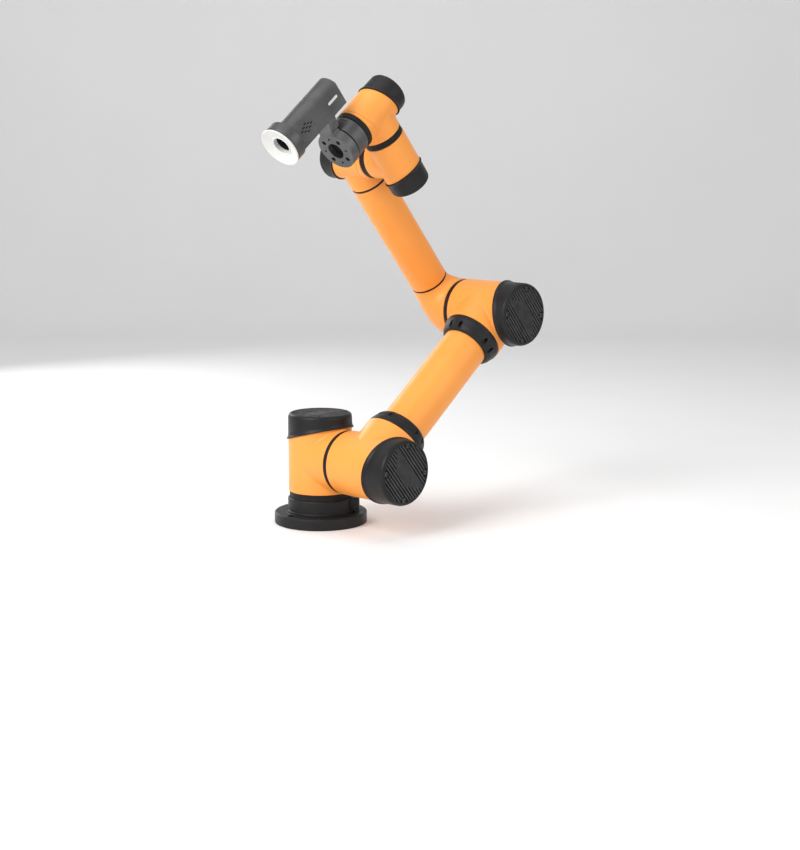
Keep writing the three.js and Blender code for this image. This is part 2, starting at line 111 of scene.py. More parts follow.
# ---------------------------------------------------------------- materials
def new_material(name, colour, roughness, metallic=0.0, **shader):
    mat = bpy.data.materials.new(name)
    mat.use_nodes = True
    tree = mat.node_tree
    bsdf = tree.nodes["Principled BSDF"]
    bsdf.inputs["Base Color"].default_value = (*colour, 1)
    bsdf.inputs["Roughness"].default_value = roughness
    bsdf.inputs["Metallic"].default_value = metallic
    for key, value in shader.items():
        bsdf.inputs[key.replace("_", " ")].default_value = value
    return mat, tree, bsdf


def noise(tree, scale, detail=3.0, roughness=0.5, stretch=None):
    """Noise over the object's own coordinates, in cycles per metre."""
    coords = tree.nodes.new("ShaderNodeTexCoord")
    source = coords.outputs["Object"]
    if stretch:
        mapping = tree.nodes.new("ShaderNodeMapping")
        mapping.inputs["Scale"].default_value = stretch
        tree.links.new(source, mapping.inputs["Vector"])
        source = mapping.outputs["Vector"]
    node = tree.nodes.new("ShaderNodeTexNoise")
    node.inputs["Scale"].default_value = scale
    node.inputs["Detail"].default_value = detail
    node.inputs["Roughness"].default_value = roughness
    tree.links.new(source, node.inputs["Vector"])
    return node.outputs["Fac"]


def ramp(tree, source, low, high, start=0.0, end=1.0):
    node = tree.nodes.new("ShaderNodeMapRange")
    node.inputs["From Min"].default_value = start
    node.inputs["From Max"].default_value = end
    node.inputs["To Min"].default_value = low
    node.inputs["To Max"].default_value = high
    tree.links.new(source, node.inputs["Value"])
    return node.outputs["Result"]


def mix_colour(tree, factor, first, second):
    node = tree.nodes.new("ShaderNodeMix")
    node.data_type = "RGBA"
    for socket, value in ((node.inputs[6], first), (node.inputs[7], second)):
        if isinstance(value, tuple):
            socket.default_value = (*value, 1)
        else:
            tree.links.new(value, socket)
    tree.links.new(factor, node.inputs[0])
    return node.outputs[2]


def bump(tree, bsdf, height, strength, distance):
    node = tree.nodes.new("ShaderNodeBump")
    node.inputs["Strength"].default_value = strength
    node.inputs["Distance"].default_value = distance
    tree.links.new(height, node.inputs["Height"])
    tree.links.new(node.outputs["Normal"], bsdf.inputs["Normal"])


def edge_mask(tree, low, high):
    """Where the surface turns over a raised edge, from the mesh's own curvature."""
    geometry = tree.nodes.new("ShaderNodeNewGeometry")
    return ramp(tree, geometry.outputs["Pointiness"], 0, 1, low, high)


def painted(name, colour, deep, roughness, coat):
    """Sprayed paint: a slightly mottled coat with orange peel, a thin scatter of darker dust specks, and a
    patchy painted highlight along its raised edges.
    """
    mat, tree, bsdf = new_material(
        name, colour, roughness, Coat_Weight=coat, Coat_Roughness=0.22, Specular_IOR_Level=0.35
    )
    broad = ramp(tree, noise(tree, 9, 4), 0, 1, 0.35, 0.68)
    tone = mix_colour(tree, broad, colour, deep)
    speck = ramp(tree, noise(tree, 700, 2), 0, 0.07, 0.62, 0.78)
    tone = mix_colour(tree, speck, tone, tuple(c * 0.72 for c in colour))
    # Raised edges are painted a lighter orange: a patchy painted highlight.
    edge_highlight = edge_mask(tree, 0.53, 0.6)
    highlight_patch = tree.nodes.new("ShaderNodeMath")
    highlight_patch.operation = "MULTIPLY"
    tree.links.new(edge_highlight, highlight_patch.inputs[0])
    tree.links.new(ramp(tree, noise(tree, 60, 4), 0, 0.45, 0.5, 0.7), highlight_patch.inputs[1])
    tone = mix_colour(tree, highlight_patch.outputs[0], tone, tuple(min(1, c * 1.25 + 0.02) for c in colour))
    tree.links.new(tone, bsdf.inputs["Base Color"])
    uneven = ramp(tree, noise(tree, 24, 6, 0.62), roughness - 0.07, roughness + 0.1, 0.3, 0.72)
    tree.links.new(uneven, bsdf.inputs["Roughness"])
    bump(tree, bsdf, noise(tree, 420, 2, 0.4), 0.06, 0.0004)
    return mat


def moulded(name, colour, roughness, grain=0.25, scale=1500, metallic=0.0):
    """Fine-grained moulded or cast black, with a patchy painted highlight along its raised edges."""
    mat, tree, bsdf = new_material(name, colour, roughness, metallic, Specular_IOR_Level=0.22)
    cloud = ramp(tree, noise(tree, 14, 5, 0.6), 0, 1, 0.34, 0.7)
    tone = mix_colour(tree, cloud, colour, tuple(c * 1.5 + 0.004 for c in colour))
    dust = ramp(tree, noise(tree, 160, 5, 0.7), 0, 0.16, 0.55, 0.8)
    tone = mix_colour(tree, dust, tone, tuple(c * 2 + 0.006 for c in colour))
    # Raised edges are painted a lighter grey: a patchy painted highlight.
    edge_highlight = edge_mask(tree, 0.53, 0.62)
    patchy_highlight = tree.nodes.new("ShaderNodeMath")
    patchy_highlight.operation = "MULTIPLY"
    tree.links.new(edge_highlight, patchy_highlight.inputs[0])
    tree.links.new(ramp(tree, noise(tree, 80, 4), 0.15, 0.6, 0.35, 0.7), patchy_highlight.inputs[1])
    tone = mix_colour(tree, patchy_highlight.outputs[0], tone, tuple(c * 2.4 + 0.03 for c in colour))
    tree.links.new(tone, bsdf.inputs["Base Color"])
    uneven = ramp(tree, noise(tree, 38, 6, 0.65), roughness - 0.08, roughness + 0.12, 0.3, 0.7)
    tree.links.new(uneven, bsdf.inputs["Roughness"])
    bump(tree, bsdf, noise(tree, scale, 2, 0.6), grain, 0.0003)
    return mat


def machined(name, colour, roughness, stretch):
    """Turned or brushed metal, its fine tool marks running one way."""
    mat, tree, bsdf = new_material(name, colour, roughness, 1.0)
    marks = noise(tree, 260, 4, 0.7, stretch)
    tone = mix_colour(tree, ramp(tree, marks, 0, 1, 0.3, 0.7), colour, tuple(c * 0.7 for c in colour))
    tree.links.new(tone, bsdf.inputs["Base Color"])
    tree.links.new(ramp(tree, marks, roughness - 0.08, roughness + 0.14, 0.3, 0.7), bsdf.inputs["Roughness"])
    bump(tree, bsdf, marks, 0.12, 0.0002)
    return mat


ORANGE = painted("orange_paint", (0.92, 0.345, 0.06), (0.9, 0.315, 0.052), 0.42, 0.08)
BLACK = moulded("black_moulding", (0.009, 0.009, 0.0095), 0.42)
BLACK_METAL = moulded("black_casting", (0.009, 0.009, 0.0095), 0.42, 0.3, 900)
# A lighter copy of the cap's black for its ribs and screw-well rims: a painted highlight.
RIB_HIGHLIGHT_BLACK = moulded("rib_black_painted_highlight", (0.028, 0.028, 0.029), 0.38, 0.2)
# A near-black copy of the black for the floors between ribs, screw sockets, vents and the bracket's bore:
# painted shade in recesses.
RECESS_SHADE = moulded("recess_shade_black", (0.002, 0.002, 0.002), 0.8, 0.1)
GRAPHITE = moulded("graphite_anodised", (0.078, 0.078, 0.08), 0.33, 0.15, 2400, 0.5)
RUBBER = moulded("seal_rubber", (0.006, 0.006, 0.006), 0.5, 0.3, 1100)
STEEL = machined("screw_steel", (0.42, 0.42, 0.44), 0.34, (1, 1, 6))
COPPER = machined("winding_copper", (0.5, 0.24, 0.12), 0.42, (1, 1, 12))
DARK_SCREW = machined("black_oxide_screw", (0.07, 0.07, 0.075), 0.4, (1, 1, 5))
CAP_SCREW = machined("cap_screw", (0.17, 0.17, 0.175), 0.42, (1, 1, 5))


def diffuser_material():
    mat, tree, bsdf = new_material(
        "white_diffuser", (0.688, 0.688, 0.664), 0.5, Subsurface_Weight=0.15, Subsurface_Scale=0.004
    )
    cloud = ramp(tree, noise(tree, 40, 4), 0, 1, 0.35, 0.7)
    tone = mix_colour(tree, cloud, (0.696, 0.696, 0.672), (0.64, 0.64, 0.616))
    tree.links.new(tone, bsdf.inputs["Base Color"])
    tree.links.new(ramp(tree, noise(tree, 90, 4), 0.42, 0.58, 0.3, 0.7), bsdf.inputs["Roughness"])
    bump(tree, bsdf, noise(tree, 1300, 2), 0.1, 0.0002)
    return mat


def lens_material():
    blue, violet = (0.01, 0.012, 0.02), (0.02, 0.01, 0.03)
    mat, tree, bsdf = new_material("lens_glass", blue, 0.05, Coat_Weight=1.0, Coat_Roughness=0.02)
    smear = ramp(tree, noise(tree, 120, 4), 0.04, 0.16, 0.45, 0.8)
    tree.links.new(smear, bsdf.inputs["Roughness"])
    tint = mix_colour(tree, ramp(tree, noise(tree, 30, 2), 0, 1, 0.3, 0.7), blue, violet)
    tree.links.new(tint, bsdf.inputs["Base Color"])
    return mat


DIFFUSER, LENS = diffuser_material(), lens_material()
BOARD = moulded("circuit_board", (0.02, 0.13, 0.05), 0.5, 0.1)


# ---------------------------------------------------------------- mesh helpers
def frame_at(centre, up, side):
    """Millimetres about a centre, +Z along `up` and +X along `side`, to metres in the row frame."""
    turn = Matrix((side, up.cross(side), up)).transposed().to_4x4()
    turn.translation = centre
    return Matrix.Scale(MM, 4) @ turn


def finish_piece(bm, name, place, material, body, slot, *nodes, sharp=32, keep_normals=None):
    """Turns a bmesh in a local frame into a named piece that rides on a body."""
    me = bpy.data.meshes.new(name)
    bm.to_mesh(me)
    bm.free()
    me.transform(place)
    for one in material if isinstance(material, (list, tuple)) else [material]:
        me.materials.append(one)
    piece = bpy.data.objects.new(name, me)
    bpy.context.scene.collection.objects.link(piece)
    me.shade_smooth()
    if keep_normals:
        turn = place.to_3x3()
        me.normals_split_custom_set([(turn @ n).normalized() for n in keep_normals])
    else:
        me.set_sharp_from_angle(angle=math.radians(sharp))
        smooth = piece.modifiers.new("even_shading", "WEIGHTED_NORMAL")
        smooth.keep_sharp = True
    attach(piece, body)
    if nodes:
        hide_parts(*nodes)


def rounded(profile, size=0.8):
    """A profile of [radius, height] pairs with each inner corner rounded off by `size`."""
    out = [profile[0]]
    steps = 3
    for before, here, after in zip(profile, profile[1:], profile[2:]):
        a, b, c = Vector(before), Vector(here), Vector(after)
        reach = min(size, (a - b).length * 0.45, (c - b).length * 0.45)
        if reach < 0.02:
            out.append(here)
            continue
        start, end = b + (a - b).normalized() * reach, b + (c - b).normalized() * reach
        for i in range(steps + 1):
            t = i / steps
            point = start * (1 - t) ** 2 + b * 2 * t * (1 - t) + end * t**2
            out.append((point.x, point.y))
    out.append(profile[-1])
    return out


def lathe(bm, profile, sides=SIDES, material=0, place=Matrix.Identity(4)):
    """Turns [radius, height] pairs about Z. A radius of 0 closes the surface."""
    rings = []
    for radius, height in profile:
        if radius < 1e-6:
            rings.append([bm.verts.new(place @ Vector((0, 0, height)))])
            continue
        ring = []
        for k in range(sides):
            turn = 2 * math.pi * k / sides
            point = Vector((radius * math.cos(turn), radius * math.sin(turn), height))
            ring.append(bm.verts.new(place @ point))
        rings.append(ring)
    for low, high in zip(rings, rings[1:]):
        for k in range(sides):
            corners = [low[k % len(low)], low[(k + 1) % len(low)]]
            corners += [high[(k + 1) % len(high)], high[k % len(high)]]
            seen = list(dict.fromkeys(corners))
            if len(seen) > 2:
                bm.faces.new(seen).material_index = material


def lathed(name, profile, place, material, body, slot, *nodes, size=0.8, sides=SIDES):
    bm = bmesh.new()
    lathe(bm, rounded(profile, size), sides)
    finish_piece(bm, name, place, material, body, slot, *nodes)


def join_rings(bm, rings):
    """Faces between each ring of vertices and the next one."""
    count = len(rings[0])
    for low, high in zip(rings, rings[1:]):
        for k in range(count):
            j = (k + 1) % count
            bm.faces.new((low[k], low[j], high[j], high[k]))


def close_ends(bm, rings):
    bm.faces.new(list(reversed(rings[0])))
    bm.faces.new(rings[-1])


def slot_outline(radius, half_straight, sides):
    """A long round-ended outline, its straight part along the second coordinate."""
    points = []
    for k in range(sides):
        a = 2 * math.pi * k / sides
        end = half_straight if math.sin(a) > 0 else -half_straight
        points.append((radius * math.cos(a), end + radius * math.sin(a)))
    return points


def solid_minus(make_solid, make_cutter):
    """A bmesh of one closed solid less another, both drawn by functions."""
    made = []
    for maker in (make_solid, make_cutter):
        bm = bmesh.new()
        maker(bm)
        bmesh.ops.recalc_face_normals(bm, faces=bm.faces)
        me = bpy.data.meshes.new("draft")
        bm.to_mesh(me)
        bm.free()
        draft = bpy.data.objects.new("draft", me)
        bpy.context.scene.collection.objects.link(draft)
        made.append(draft)
    solid, cutter = made
    modifier = solid.modifiers.new("cut", "BOOLEAN")
    modifier.operation = "DIFFERENCE"
    modifier.solver = "EXACT"
    modifier.use_self = True
    modifier.object = cutter
    bpy.context.view_layer.update()
    result = solid.evaluated_get(bpy.context.evaluated_depsgraph_get())
    bm = bmesh.new()
    bm.from_mesh(result.to_mesh())
    result.to_mesh_clear()
    for draft in made:
        old = draft.data
        bpy.data.objects.remove(draft)
        bpy.data.meshes.remove(old)
    return bm


def turned_about(angle, x=0.0, y=0.0, z=0.0):
    return Matrix.Rotation(angle, 4, "Z") @ Matrix.Translation((x, y, z))


# ---------------------------------------------------------------- joint modules
@dataclass
class Module:
    """One joint module. Heights run along its axis from the crossing of its port's axis."""

    radius: float
    output: float
    ring: float
    port: float
    port_radius: float
    rim: float
    top: float
    face: float
    lip: float
    slant: float
    fillet: float
    lip_depth: float


BIG = Module(
    radius=59,
    output=61.7,
    ring=9.4,
    port=69.4,
    port_radius=58,
    rim=76,
    top=84,
    face=52.5,
    lip=62.3,
    slant=45,
    fillet=5.5,
    lip_depth=2.4,
)
SMALL = Module(
    radius=37,
    output=45.5,
    ring=12,
    port=45,
    port_radius=36.3,
    rim=54.5,
    top=60.5,
    face=33,
    lip=39.5,
    slant=29.5,
    fillet=3.2,
    lip_depth=1.8,
)
CAP_SLANT = 0.268
SEAM_SLANT, SEAM_RISE, SEAM_HALF_WIDTH, SEAM_DEPTH = 0.216, 12, 0.5, 0.8
EDGE = 1.1


def tee_housing(name, m, place, body, port, seam):
    """A tee with a rolled fillet where its port leaves it, and rounded edges at its openings."""
    port = port or m.port
    bm = bmesh.new()
    normal_of = bm.verts.layers.float_vector.new("n")

    def vertex(point, normal):
        v = bm.verts.new(point)
        v[normal_of] = normal
        return v

    big, small = m.radius + m.fillet, m.port_radius + m.fillet
    wide, high = math.radians(108), m.top + 6
    side_heights = []
    columns = []
    for k in range(SIDES):
        phi = 2 * math.pi * (k + 0.5) / SIDES
        s, c = math.sin(phi), math.cos(phi)
        ball = Vector((math.sqrt(big**2 - (small * s) ** 2), small * s, small * c))
        outward = Vector((0, s, c))
        column = []
        for i in range(4):
            x = port + (ball.x - port) * i / 3
            column.append((Vector((x, m.port_radius * s, m.port_radius * c)), outward))
        to_port = -outward
        to_main = Vector((-ball.x, -ball.y, 0)).normalized()
        steps = 6
        for i in range(1, steps + 1):
            way = to_port.slerp(to_main, i / steps)
            column.append((ball + way * m.fillet, -way))
        turn, height = math.atan2(ball.y, ball.x), ball.z
        u, v = turn * m.radius, height
        reach = min(wide * m.radius / max(abs(s), 1e-6), high / max(abs(c), 1e-6))
        goal = Vector((s * reach, c * reach))
        rings = 7
        for i in range(1, rings + 1):
            t = i / rings
            uu, vv = u + (goal.x - u) * t, v + (goal.y - v) * t
            a = uu / m.radius
            n = Vector((math.cos(a), math.sin(a), 0))
            column.append((n * m.radius + Vector((0, 0, vv)), n))
        if abs(goal.x - wide * m.radius) < 1e-3:
            side_heights.append(goal.y)
        columns.append([vertex(p, n) for p, n in column])
    for k in range(SIDES):
        a, b = columns[k], columns[(k + 1) % SIDES]
        for i in range(len(a) - 1):
            bm.faces.new((a[i], a[i + 1], b[i + 1], b[i]))
    rest = []
    spans = 26
    for i in range(spans + 1):
        a = wide + (2 * math.pi - 2 * wide) * i / spans
        n = Vector((math.cos(a), math.sin(a), 0))
        rest.append([vertex(n * m.radius + Vector((0, 0, h)), n) for h in sorted(side_heights)])
    for a, b in zip(rest, rest[1:]):
        for i in range(len(a) - 1):
            bm.faces.new((a[i], b[i], b[i + 1], a[i + 1]))
    bmesh.ops.remove_doubles(bm, verts=bm.verts, dist=1e-3)

    def slice_off(point, direction, depth):
        d = Vector(direction).normalized()
        p = Vector(point) - d * EDGE
        whole = list(bm.verts) + list(bm.edges) + list(bm.faces)
        cut = bmesh.ops.bisect_plane(bm, geom=whole, dist=1e-4, plane_co=p, plane_no=d, clear_outer=True)
        edges = [g for g in cut["geom_cut"] if isinstance(g, bmesh.types.BMEdge)]
        rows = {}
        for edge in edges:
            for v in edge.verts:
                if v in rows:
                    continue
                n = v[normal_of].copy()
                flat = (n - d * n.dot(d)).normalized()
                row = [v]
                for i in range(1, 5):
                    a = i / 4 * math.pi / 2
                    at = v.co + d * EDGE * math.sin(a) - flat * EDGE * (1 - math.cos(a))
                    row.append(vertex(at, flat * math.cos(a) + d * math.sin(a)))
                last = row[-1].co
                row.append(vertex(last, d))
                row.append(vertex(last - flat * depth, d))
                rows[v] = row
        for edge in edges:
            a, b = (rows[v] for v in edge.verts)
            for i in range(len(a) - 1):
                if i != 4:
                    bm.faces.new((a[i], a[i + 1], b[i + 1], b[i]))

    slice_off((port, 0, 0), (1, 0, 0), m.lip_depth * 3)
    slice_off((0, 0, -m.output), (0, 0, -1), m.lip_depth * 3)
    slice_off((0, 0, m.slant + 0.2), (-CAP_SLANT, 0, 1), m.lip_depth * 2)
    if seam:
        tilt = Vector((-SEAM_SLANT, 0, 1)).normalized()
        middle = Vector((0, 0, SEAM_RISE - m.output))
        half = SEAM_HALF_WIDTH
        for lift in (-half, -half * 0.6, half * 0.6, half):
            whole = list(bm.verts) + list(bm.edges) + list(bm.faces)
            where = middle + tilt * lift
            bmesh.ops.bisect_plane(bm, geom=whole, dist=1e-4, plane_co=where, plane_no=tilt)
        for v in bm.verts:
            radial = Vector((v.co.x, v.co.y, 0))
            in_seam = abs((v.co - middle).dot(tilt)) < half * 0.8
            on_wall = abs(radial.length - m.radius) < 0.05 and v.co.z > 1.5 - m.output
            if in_seam and on_wall:
                v.co -= radial.normalized() * SEAM_DEPTH
    bmesh.ops.recalc_face_normals(bm, faces=bm.faces)
    bm.verts.index_update()
    bm.normal_update()
    outer = max(bm.faces, key=lambda f: -f.calc_center_median().x)
    if outer.normal.x > 0:
        bmesh.ops.reverse_faces(bm, faces=bm.faces)
    normals = []
    for face in bm.faces:
        steep = all(face.normal.dot(v[normal_of]) < 0.7 for v in face.verts)
        normals += [face.normal.copy() if steep else loop.vert[normal_of].copy() for loop in face.loops]
    finish_piece(
        bm, name + "_shell", place, ORANGE, body, "orange_paint", name + "_housing", keep_normals=normals
    )


def slant_height(module, radius, turn):
    return module.slant + CAP_SLANT * radius * math.cos(turn)


def cap_shell(bm, m):
    """The cap's skirt, which follows the slanted parting line, its shoulder and its flat rim."""
    wall = m.radius + 0.5
    drop = m.top - m.rim
    flare, rise = m.lip - wall, 7.5 * m.radius / BIG.radius + 1
    outer = [(m.radius - 0.6, 0.3), (m.lip - 0.8, 0.0), (m.lip - 0.3, 0.2), (m.lip, 0.7), (m.lip, 1.5)]
    for i in range(1, 9):
        t = i / 8
        outer.append((wall + flare * (1 - t) ** 2.2, 1.5 + rise * t))
    rows = []
    for k in range(SIDES):
        turn = 2 * math.pi * k / SIDES
        row = []
        low = slant_height(m, m.radius, turn) + 0.25
        for radius, lift in outer:
            row.append((radius, low + lift))
        start = low + outer[-1][1]
        for i in range(1, 5):
            t = i / 4
            row.append((wall - 0.35 * t, start + (m.rim - start) * t))
        for i in range(1, 9):
            a = i / 8 * math.pi / 2
            reach = wall - 0.35 - m.face - 1.2
            row.append((m.face + 1.2 + reach * math.cos(a), m.rim + drop * math.sin(a)))
        row.append((m.face + 0.5, m.top))
        row.append((m.face, m.top - 0.5))
        row.append((m.face, m.top - 3))
        rows.append([bm.verts.new((r * math.cos(turn), r * math.sin(turn), h)) for r, h in row])
    for k in range(SIDES):
        a, b = rows[k], rows[(k + 1) % SIDES]
        for i in range(len(a) - 1):
            bm.faces.new((a[i], b[i], b[i + 1], a[i + 1]))


SKIRT, RIB, WELL, PANEL, SCREW = range(5)
# The floor between the ribs and the screw sockets are near-black: painted shade in the cap's recesses.
CAP_MATERIALS = [BLACK, RIB_HIGHLIGHT_BLACK, RECESS_SHADE, BLACK, CAP_SCREW]


def bar(bm, u, low, high, width, floor, top, ends):
    """A raised rib along Y at X = u, with rounded top edges and ends cut to the cap's circle."""
    half, soft = width / 2, min(0.5, width * 0.2)
    section = [(-half, floor), (-half, top - soft)]
    section += [(-half + soft * 0.3, top - soft * 0.3), (-half + soft, top)]
    section += [(-x, z) for x, z in reversed(section)]
    rings = []
    for y, slope in ((low, ends[0]), (high, ends[1])):
        rings.append([bm.verts.new((u + x, y + slope * x, z)) for x, z in section])
    a, b = rings
    for i in range(len(a) - 1):
        bm.faces.new((a[i], b[i], b[i + 1], a[i + 1])).material_index = RIB
    bm.faces.new(a).material_index = RIB
    bm.faces.new(list(reversed(b))).material_index = RIB


def cap_face(bm, m):
    """The ribbed end of a cap: ribs across the port's direction, a plain panel, four screws."""
    scale = m.radius / BIG.radius
    pitch, width = 5.8 * scale, 2.9 * scale
    floor, top = m.top - 2.4 * scale, m.top - 0.35
    edge = m.face - 0.15
    lathe(bm, [(m.face, floor), (0, floor)], SIDES, WELL)
    spots = [(34.5 * scale * a, 34.5 * scale * b) for a in (-1, 1) for b in (-1, 1)]
    clear = 5.4 * scale
    count = int(edge / pitch)
    for k in range(-count - 1, count + 1):
        u = (k + 0.5) * pitch
        if abs(u) > edge - 0.5 * width:
            continue
        reach = math.sqrt(edge**2 - u**2)
        slope = -u / max(reach, 6)
        gaps = []
        for x, y in spots:
            if abs(u - x) < clear + width / 2:
                half = math.sqrt(max(0.0, (clear + width / 2) ** 2 - (u - x) ** 2))
                gaps.append((y - half, y + half))
        start, first = -reach, -slope
        for low, high in sorted(gaps):
            if low > start:
                bar(bm, u, start, low, width, floor, top, (first, 0))
            start, first = high, 0
        if start < reach:
            bar(bm, u, start, reach, width, floor, top, (first, slope))
    half = 2.5 * pitch
    low = [(-half, (-37 + 1.2 * half / scale) * scale), (half, (-37 - 1.2 * half / scale) * scale)]
    high = [(half, (38 + 1.2 * half / scale) * scale), (-half, (38 - 1.2 * half / scale) * scale)]
    outline = low + high
    up = [bm.verts.new((x, y, top + 0.06)) for x, y in outline]
    down = [bm.verts.new((x, y, floor)) for x, y in outline]
    bm.faces.new(up).material_index = PANEL
    for i in range(4):
        j = (i + 1) % 4
        bm.faces.new((down[i], down[j], up[j], up[i])).material_index = PANEL
    for x, y in spots:
        at = Matrix.Translation((x, y, 0))
        r = 4.6 * scale
        well = [(r, floor), (r, top - 0.3), (r - 0.4, top)]
        well += [(r - 1.2 * scale, top), (r - 1.2 * scale, top - 1.4)]
        lathe(bm, well, 24, RIB, at)
        head = [(r - 1.3 * scale, floor), (r - 1.3 * scale, top - 1.0), (r - 1.8 * scale, top - 0.5)]
        lathe(bm, head + [(1.7 * scale, top - 0.4)], 24, SCREW, at)
        socket = [(1.7 * scale, top - 0.4), (1.7 * scale, top - 1.9), (0, top - 1.9)]
        lathe(bm, socket, 6, WELL, at)


def cap_piece(name, module, place, body):
    bm = bmesh.new()
    cap_shell(bm, module)
    cap_face(bm, module)
    bmesh.ops.recalc_face_normals(bm, faces=bm.faces)
    finish_piece(bm, name + "_cover", place, CAP_MATERIALS, body, "black_plastic", name + "_cap")


def seal_ring(name, m, place, body, low=None, high=None, radius=None):
    """The black ring between a housing and the part it turns on."""
    low = -m.output - m.ring + 0.3 if low is None else low
    high = -m.output - 0.5 if high is None else high
    r = radius or m.radius - 0.9
    middle = (low + high) / 2
    profile = [(m.radius * 0.7, low), (r, low), (r, middle - 0.5), (r - 0.5, middle), (r, middle + 0.5)]
    profile += [(r, high), (m.radius * 0.7, high)]
    lathed(name + "_ring", profile, place, RUBBER, body, "black_rubber", name + "_seal_ring", size=0.5)


PLACES = {
    "base_joint": frame_at(BASE_CENTRE, Z, X),
    "shoulder": frame_at(SHOULDER_CENTRE, X, ALONG_UPPER),
    "elbow": frame_at(ELBOW_CENTRE, X, -ALONG_UPPER),
    "wrist_1": frame_at(WRIST_1_CENTRE, -X, -ALONG_FORE),
    "wrist_2": frame_at(WRIST_2_CENTRE, -ALONG_FORE, -X),
    "wrist_3": frame_at(WRIST_3_CENTRE, -ALONG_TOOL, -ALONG_FORE),
}
COLLAR_FOOT = BIG.port - 2
FOREARM_PORT = 50.7
MODULES = [
    ("base_joint", BIG, "shoulder_link", None, False),
    ("shoulder", BIG, "upper_arm", COLLAR_FOOT, False),
    ("elbow", BIG, "upper_arm", COLLAR_FOOT, False),
    ("wrist_1", SMALL, "forearm", FOREARM_PORT, True),
    ("wrist_2", SMALL, "wrist_1_link", None, False),
    ("wrist_3", SMALL, "wrist_2_link", None, True),
]
for name, module, body, port, seam in MODULES:
    tee_housing(name, module, PLACES[name], body, port, seam)
    cap_piece(name, module, PLACES[name], body)

PEDESTAL_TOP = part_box("base_pedestal")[1].z / MM
seal_ring("shoulder", BIG, PLACES["shoulder"], "shoulder_link")
seal_ring("elbow", BIG, PLACES["elbow"], "forearm")
seal_ring("wrist_1", SMALL, PLACES["wrist_1"], "wrist_1_link")
seal_ring("wrist_2", SMALL, PLACES["wrist_2"], "wrist_2_link")
BASE_RING_LOW, BASE_RING_RADIUS = PEDESTAL_TOP + 0.2 - BASE_CENTRE.z, 57.6
seal_ring(
    "base_joint", BIG, PLACES["base_joint"], "base", BASE_RING_LOW, -BIG.output - 0.5, BASE_RING_RADIUS
)


# ---------------------------------------------------------------- upper arm
def socket_screw(bm, place, radius=3.4, material=1, sides=20):
    """A cap screw's head with a hexagon socket, its top at height 0."""
    head = [(radius, -3.5), (radius, -0.5), (radius - 0.5, 0), (radius * 0.55, 0)]
    lathe(bm, head, sides, material, place)
    lathe(bm, [(radius * 0.55, 0), (radius * 0.5, -0.3), (radius * 0.5, -2.2), (0, -2.4)], 6, material, place)


def collar_piece(name, place):
    foot, end, tube = COLLAR_FOOT + 0.3, 97, 43.4
    screw_circle = 51.2
    profile = [
        (tube + 3, foot + 1),
        (56.2, foot),
        (57.2, foot + 1),
        (57.2, foot + 7),
        (54.6, foot + 13.5),
        (52.2, end - 8),
        (48.6, end - 2.6),
        (46.2, end - 0.6),
        (44.6, end),
        (tube, end - 0.4),
        (tube, foot + 8),
    ]

    def whole(bm):
        ring = rounded(profile + [profile[0]], 0.9)
        lathe(bm, ring)
        bmesh.ops.remove_doubles(bm, verts=bm.verts, dist=1e-4)

    slots = []
    for quarter in range(4):
        for side in (-1, 1):
            slots.append(math.radians(90 * quarter + 13 * side))

    def holes(bm):
        for turn in slots:
            at = turned_about(turn, screw_circle)
            lathe(bm, [(0, foot + 9.4), (3.9, foot + 9.4), (3.9, end + 9), (0, end + 9)], 24, 0, at)

    bm = solid_minus(whole, holes)
    for turn in slots:
        socket_screw(bm, turned_about(turn, screw_circle, 0, foot + 12.6), 3.2)
    bmesh.ops.recalc_face_normals(bm, faces=bm.faces)
    materials = [BLACK_METAL, DARK_SCREW]
    finish_piece(bm, name + "_ring", place, materials, "upper_arm", "black_paint", name)


UPPER_PLACE = frame_at(SHOULDER_CENTRE, ALONG_UPPER, X)
UPPER_LENGTH = (ELBOW_CENTRE - SHOULDER_CENTRE).length
collar_piece("upper_arm_lower_collar", UPPER_PLACE)
collar_piece("upper_arm_upper_collar", frame_at(ELBOW_CENTRE, -ALONG_UPPER, X))


def tube_piece(name, radius, low, high, place, body, material=ORANGE, slot="orange_paint", size=0.6):
    profile = [(radius - 3, low), (radius, low), (radius, high), (radius - 3, high)]
    lathed(name + "_skin", profile, place, material, body, slot, name, size=size)


UPPER_TUBE_RADIUS, UPPER_TUBE_END = 43.15, 78
tube_piece(
    "upper_arm_tube",
    UPPER_TUBE_RADIUS,
    UPPER_TUBE_END,
    UPPER_LENGTH - UPPER_TUBE_END,
    UPPER_PLACE,
    "upper_arm",
)

# ---------------------------------------------------------------- forearm
FOREARM_FOOT = ELBOW_CENTRE + X * (WRIST_1_CENTRE.x - ELBOW_CENTRE.x)
FORE_PLACE = frame_at(FOREARM_FOOT, ALONG_FORE, X)
FOREARM_LENGTH = (WRIST_1_CENTRE - FOREARM_FOOT).length
ELBOW_RISE, GASKET, FORE_RADIUS = 71.2, 3.8, 36.5
FORE_END = FOREARM_LENGTH - FOREARM_PORT


def elbow_section(part):
    """Centre, outward direction and radius of the bent piece's section, 0 at the elbow's side."""
    start = BIG.port - (WRIST_1_CENTRE.x - BASE_CENTRE.x)
    near = (ELBOW_RISE - BIG.radius, start - FORE_RADIUS)
    far = (ELBOW_RISE + BIG.radius, start + FORE_RADIUS)
    eased = part * part * (3 - 2 * part)
    turn = part * math.pi / 2
    inner = near[0] + (near[1] - near[0]) * eased
    outer = far[0] + (far[1] - far[0]) * eased
    out = Vector((-math.sin(turn), 0, -math.cos(turn)))
    corner = Vector((start, 0, ELBOW_RISE))
    return corner + out * (inner + outer) / 2, out, (outer - inner) / 2


